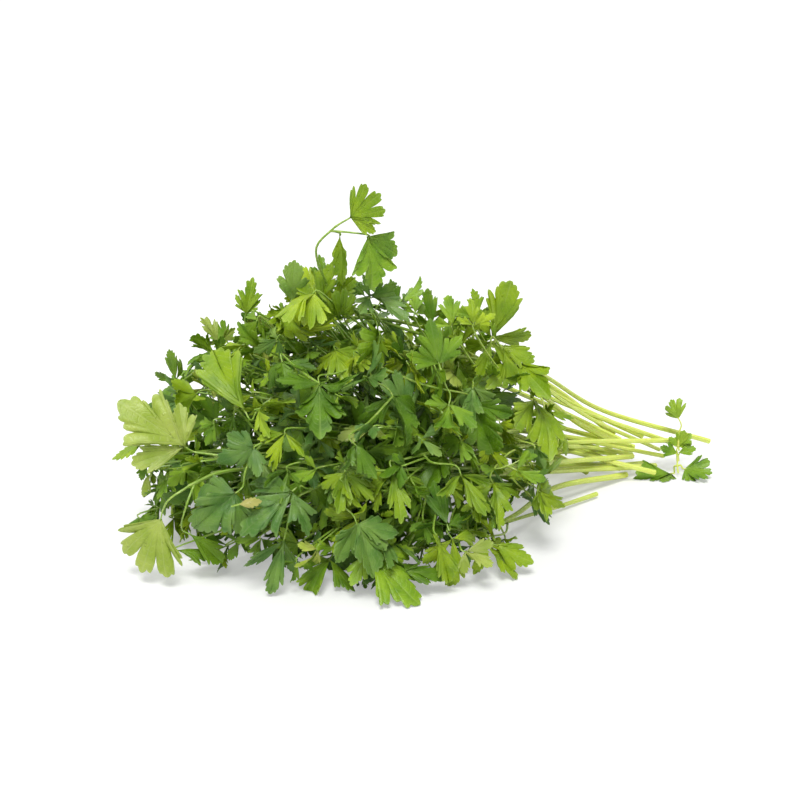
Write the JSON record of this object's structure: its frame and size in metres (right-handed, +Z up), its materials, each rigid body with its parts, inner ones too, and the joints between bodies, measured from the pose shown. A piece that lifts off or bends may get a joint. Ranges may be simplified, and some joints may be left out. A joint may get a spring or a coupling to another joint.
{
  "type": "parsley bunch",
  "caption": "Loose bunch of flat-leaf parsley lying on its side, long stems gathered at one end and lobed, toothed leaves heaped at the other.",
  "frame": {"origin": "middle of the bunch's footprint, on the surface that it lies on", "axes": "+X along the bunch towards the cut ends of the stems, +Z up from the surface, -Y the side that its fullest leaves face"},
  "size_m": [0.4018, 0.2604, 0.2097],
  "materials": {
    "leaf_bright": "satin",
    "leaf_mid": "satin",
    "leaf_dark": "satin",
    "leaf_blue_green": "satin",
    "leaf_pale": "satin",
    "stem": "satin"
  },
  "bodies": {
    "root": {"leaf_01_end": "leaf_bright", "leaf_01_left": "leaf_bright", "leaf_01_right": "leaf_mid", "leaf_02_end": "leaf_pale", "leaf_02_left": "leaf_blue_green", "leaf_03_end": "leaf_pale", "leaf_03_left": "leaf_mid", "leaf_04_end": "leaf_blue_green", "leaf_04_left": "leaf_blue_green", "leaf_04_right": "leaf_blue_green", "leaf_05_end": "leaf_mid", "leaf_05_right": "leaf_mid", "leaf_06_end": "leaf_bright", "leaf_06_left": "leaf_bright", "leaf_07_end": "leaf_bright", "leaf_07_left": "leaf_bright", "leaf_08_end": "leaf_bright", "leaf_08_left": "leaf_bright", "leaf_09_end": "leaf_bright", "leaf_09_left": "leaf_bright", "leaf_09_right": "leaf_bright", "leaf_10_end": "leaf_mid", "leaf_10_left": "leaf_mid", "leaf_11_end": "leaf_blue_green", "leaf_11_left": "leaf_blue_green", "leaf_12_end": "leaf_bright", "leaf_12_left": "leaf_bright", "leaf_13_end": "leaf_dark", "leaf_13_left": "leaf_dark", "leaf_13_right": "leaf_dark", "leaf_14_end": "leaf_bright", "leaf_14_right": "leaf_bright", "leaf_15_end": "leaf_mid", "leaf_15_left": "leaf_mid", "leaf_15_right": "leaf_mid", "leaf_16_end": "leaf_mid", "leaf_16_left": "leaf_mid", "leaf_16_right": "leaf_mid", "leaf_17_end": "leaf_mid", "leaf_17_right": "leaf_mid", "leaf_18_end": "leaf_dark", "leaf_18_right": "leaf_dark", "stem_01": "stem", "stem_02": "stem", "stem_03": "stem", "stem_04": "stem", "stem_05": "stem", "stem_06": "stem", "stem_07": "stem", "stem_08": "stem", "stem_09": "stem", "stem_10": "stem", "stem_11": "stem", "stem_12": "stem", "stem_13": "stem", "stem_14": "stem", "stem_15": "stem", "stem_16": "stem", "stem_17": "stem", "stem_18": "stem"}
  },
  "joints": []
}
